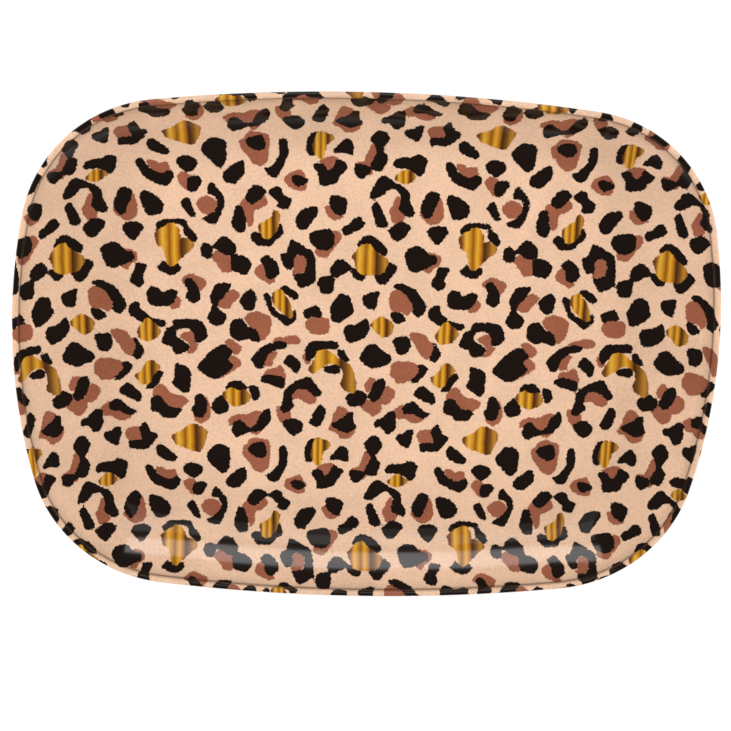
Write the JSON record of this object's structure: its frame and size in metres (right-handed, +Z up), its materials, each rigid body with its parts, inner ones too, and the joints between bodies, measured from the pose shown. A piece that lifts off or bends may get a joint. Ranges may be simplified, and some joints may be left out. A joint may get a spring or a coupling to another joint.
{
  "type": "serving tray",
  "caption": "Shallow rounded-rectangle tin serving tray with bowed sides, a flared wall, a wired rolled rim and an all-over animal-spot print.",
  "frame": {"origin": "middle of the underside of the floor, on the surface that the tray rests on", "axes": "+Z up out of the well, +X along the long sides, +Y along the short sides"},
  "size_m": [0.34, 0.252, 0.025],
  "materials": {
    "printed_tinplate": "gloss lacquer over a printed spot pattern in black, brown and gold on a pale peach ground",
    "steel_wire": "plain drawn wire"
  },
  "bodies": {
    "root": {"pan": "printed_tinplate", "rim_wire": "steel_wire"}
  },
  "joints": []
}
